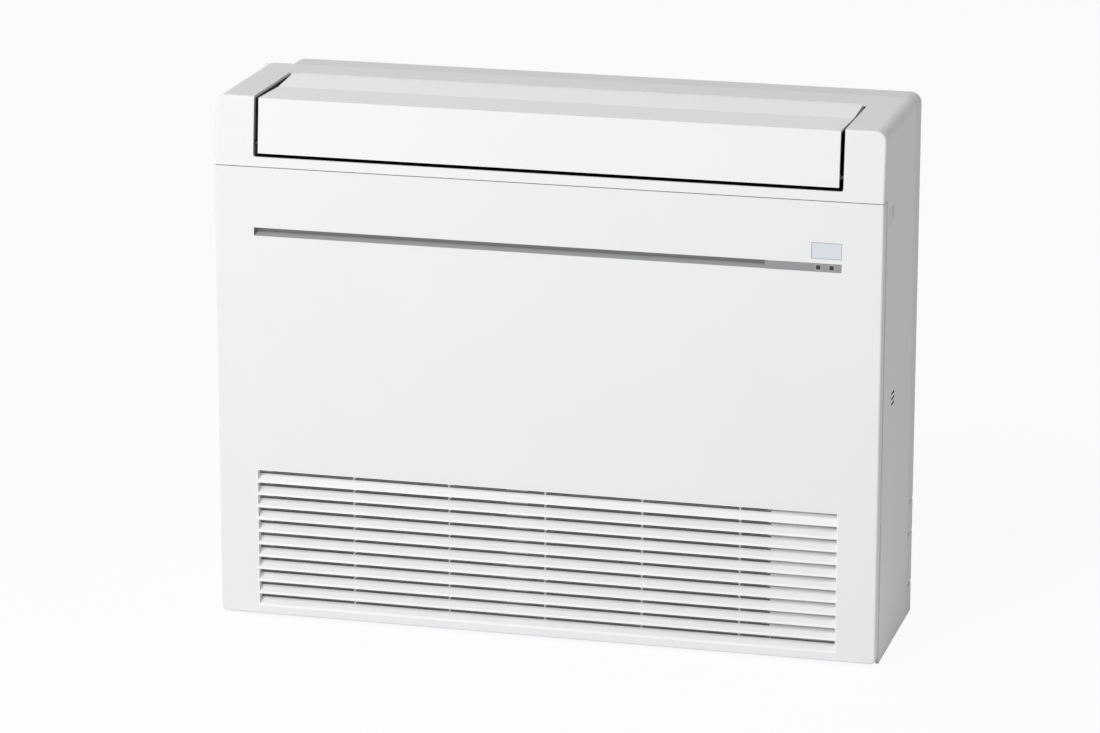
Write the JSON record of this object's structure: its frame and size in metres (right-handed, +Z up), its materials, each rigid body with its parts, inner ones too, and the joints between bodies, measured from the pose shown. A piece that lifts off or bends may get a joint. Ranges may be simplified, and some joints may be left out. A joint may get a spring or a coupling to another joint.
{
  "type": "floor console air conditioner",
  "caption": "Low floor-standing air conditioner cabinet with a tipping front panel and scooped intake grille, top outlet closed by two vanes, and a linked fan and deflector train inside.",
  "frame": {"origin": "on the floor, at the middle of the unit's outline", "axes": "+X to the right seen from the front, +Y back to the wall, +Z up"},
  "size_m": [0.75, 0.215, 0.6],
  "materials": {
    "casing_white": "satin moulded",
    "panel_white": "satin moulded",
    "vane_white": "satin moulded",
    "rear_white": "fine matt moulded",
    "galvanised": "galvanised sheet",
    "steel": "turned",
    "duct_dark": "dark matt moulded",
    "deflector_dark": "dark matt moulded",
    "fan_dark": "glass filled moulded",
    "window_grey": "smoked gloss",
    "receiver_clear": "pale tinted gloss",
    "motor_grey": "satin painted",
    "frame_white": "matt moulded",
    "filter_dark": "matt moulded",
    "filter_mesh": "woven net",
    "fins": "bare fins",
    "copper": "drawn copper tube",
    "union_brass": "turned",
    "control_black": "matt moulded",
    "circuit": "laminate",
    "lamp": "dark gloss"
  },
  "bodies": {
    "cabinet": {"casing": "casing_white", "rear_box": "rear_white", "base_plate": "galvanised", "tube_plate_left": "galvanised", "tube_plate_right": "galvanised", "motor_bracket": "galvanised", "hinge_lugs": "galvanised", "panel_hinge_pins": "steel", "frame_screws": "steel", "fan_bearing": "steel", "outlet_duct": "duct_dark", "tongue": "duct_dark", "deflector_rail": "duct_dark", "fan_motor": "motor_grey", "vane_motor_front": "motor_grey", "vane_motor_top": "motor_grey", "bearing_cap": "motor_grey", "front_frame": "frame_white", "drain_pan": "frame_white", "panel_catches": "frame_white", "fin_pack": "fins", "coil_tube": "copper", "gas_pipe": "copper", "liquid_pipe": "copper", "gas_union": "union_brass", "liquid_union": "union_brass", "control_box": "control_black", "control_cover": "control_black", "terminal_block": "control_black", "room_sensor": "control_black", "control_board": "circuit", "display_board": "circuit", "indicator_lamps": "lamp", "receiver": "lamp"},
    "front_panel_body": {"front_panel": "panel_white", "display_window": "window_grey", "receiver_window": "receiver_clear"},
    "front_vane_body": {"front_vane": "vane_white"},
    "top_vane_body": {"top_vane": "vane_white"},
    "fan": {"fan_rotor": "fan_dark", "fan_shaft": "steel"},
    "filter_left": {"filter_frame_left": "filter_dark", "filter_net_left": "filter_mesh"},
    "filter_right": {"filter_frame_right": "filter_dark", "filter_net_right": "filter_mesh"},
    "button": {"service_button": "frame_white"},
    "deflector_left_1": {"deflector_left_1": "deflector_dark"},
    "deflector_left_2": {"deflector_left_2": "deflector_dark"},
    "deflector_left_3": {"deflector_left_3": "deflector_dark"},
    "deflector_left_4": {"deflector_left_4": "deflector_dark"},
    "deflector_left_5": {"deflector_left_5": "deflector_dark"},
    "tie_bar_left": {"tie_bar_left": "deflector_dark"},
    "deflector_right_1": {"deflector_right_1": "deflector_dark"},
    "deflector_right_2": {"deflector_right_2": "deflector_dark"},
    "deflector_right_3": {"deflector_right_3": "deflector_dark"},
    "deflector_right_4": {"deflector_right_4": "deflector_dark"},
    "deflector_right_5": {"deflector_right_5": "deflector_dark"},
    "tie_bar_right": {"tie_bar_right": "deflector_dark"}
  },
  "joints": [
    {"name": "panel_tip", "type": "hinge", "parent": "cabinet", "child": "front_panel_body", "pos_m": [0, -0.097, 0.014], "axis": [1, 0, 0], "range_deg": [0, 60]},
    {"name": "front_vane_tip", "type": "hinge", "parent": "cabinet", "child": "front_vane_body", "pos_m": [0, -0.099, 0.547], "axis": [1, 0, 0], "range_deg": [0, 75]},
    {"name": "top_vane_lift", "type": "hinge", "parent": "cabinet", "child": "top_vane_body", "pos_m": [0, 0.024, 0.594], "axis": [-1, 0, 0], "range_deg": [0, 50]},
    {"name": "fan_spin", "type": "hinge", "parent": "cabinet", "child": "fan", "pos_m": [0, 0.016, 0.452], "axis": [1, 0, 0], "continuous": true},
    {"name": "filter_left_lift", "type": "slide", "parent": "cabinet", "child": "filter_left", "axis": [0, 0, 1], "range_m": [0, 0.04]},
    {"name": "filter_right_lift", "type": "slide", "parent": "cabinet", "child": "filter_right", "axis": [0, 0, 1], "range_m": [0, 0.04]},
    {"name": "button_press", "type": "slide", "parent": "cabinet", "child": "button", "axis": [0, 1, 0], "range_m": [0, 0.0015], "stiffness_N_per_m": 600, "springref_m": -0.001},
    {"name": "deflector_left_1_swing", "type": "hinge", "parent": "cabinet", "child": "deflector_left_1", "pos_m": [-0.03, 0.024, 0.521], "axis": [0, 1, 0], "range_deg": [-30, 30]},
    {"name": "deflector_left_2_swing", "type": "hinge", "parent": "cabinet", "child": "deflector_left_2", "pos_m": [-0.09, 0.024, 0.521], "axis": [0, 1, 0], "range_deg": [-30, 30]},
    {"name": "deflector_left_3_swing", "type": "hinge", "parent": "cabinet", "child": "deflector_left_3", "pos_m": [-0.15, 0.024, 0.521], "axis": [0, 1, 0], "range_deg": [-30, 30]},
    {"name": "deflector_left_4_swing", "type": "hinge", "parent": "cabinet", "child": "deflector_left_4", "pos_m": [-0.21, 0.024, 0.521], "axis": [0, 1, 0], "range_deg": [-30, 30]},
    {"name": "deflector_left_5_swing", "type": "hinge", "parent": "cabinet", "child": "deflector_left_5", "pos_m": [-0.27, 0.024, 0.521], "axis": [0, 1, 0], "range_deg": [-30, 30]},
    {"name": "tie_bar_left_link", "type": "hinge", "parent": "deflector_left_3", "child": "tie_bar_left", "pos_m": [-0.15, -0.039, 0.539], "axis": [0, 1, 0], "range_deg": [-30, 30]},
    {"name": "deflector_right_1_swing", "type": "hinge", "parent": "cabinet", "child": "deflector_right_1", "pos_m": [0.03, 0.024, 0.521], "axis": [0, 1, 0], "range_deg": [-30, 30]},
    {"name": "deflector_right_2_swing", "type": "hinge", "parent": "cabinet", "child": "deflector_right_2", "pos_m": [0.09, 0.024, 0.521], "axis": [0, 1, 0], "range_deg": [-30, 30]},
    {"name": "deflector_right_3_swing", "type": "hinge", "parent": "cabinet", "child": "deflector_right_3", "pos_m": [0.15, 0.024, 0.521], "axis": [0, 1, 0], "range_deg": [-30, 30]},
    {"name": "deflector_right_4_swing", "type": "hinge", "parent": "cabinet", "child": "deflector_right_4", "pos_m": [0.21, 0.024, 0.521], "axis": [0, 1, 0], "range_deg": [-30, 30]},
    {"name": "deflector_right_5_swing", "type": "hinge", "parent": "cabinet", "child": "deflector_right_5", "pos_m": [0.27, 0.024, 0.521], "axis": [0, 1, 0], "range_deg": [-30, 30]},
    {"name": "tie_bar_right_link", "type": "hinge", "parent": "deflector_right_3", "child": "tie_bar_right", "pos_m": [0.15, -0.039, 0.539], "axis": [0, 1, 0], "range_deg": [-30, 30]}
  ],
  "couplings": [
    {"joint": "deflector_left_1_swing", "follows": "deflector_left_3_swing", "ratio": 1},
    {"joint": "deflector_left_2_swing", "follows": "deflector_left_3_swing", "ratio": 1},
    {"joint": "deflector_left_4_swing", "follows": "deflector_left_3_swing", "ratio": 1},
    {"joint": "deflector_left_5_swing", "follows": "deflector_left_3_swing", "ratio": 1},
    {"joint": "tie_bar_left_link", "follows": "deflector_left_3_swing", "ratio": -1},
    {"joint": "deflector_right_1_swing", "follows": "deflector_right_3_swing", "ratio": 1},
    {"joint": "deflector_right_2_swing", "follows": "deflector_right_3_swing", "ratio": 1},
    {"joint": "deflector_right_4_swing", "follows": "deflector_right_3_swing", "ratio": 1},
    {"joint": "deflector_right_5_swing", "follows": "deflector_right_3_swing", "ratio": 1},
    {"joint": "tie_bar_right_link", "follows": "deflector_right_3_swing", "ratio": -1}
  ]
}
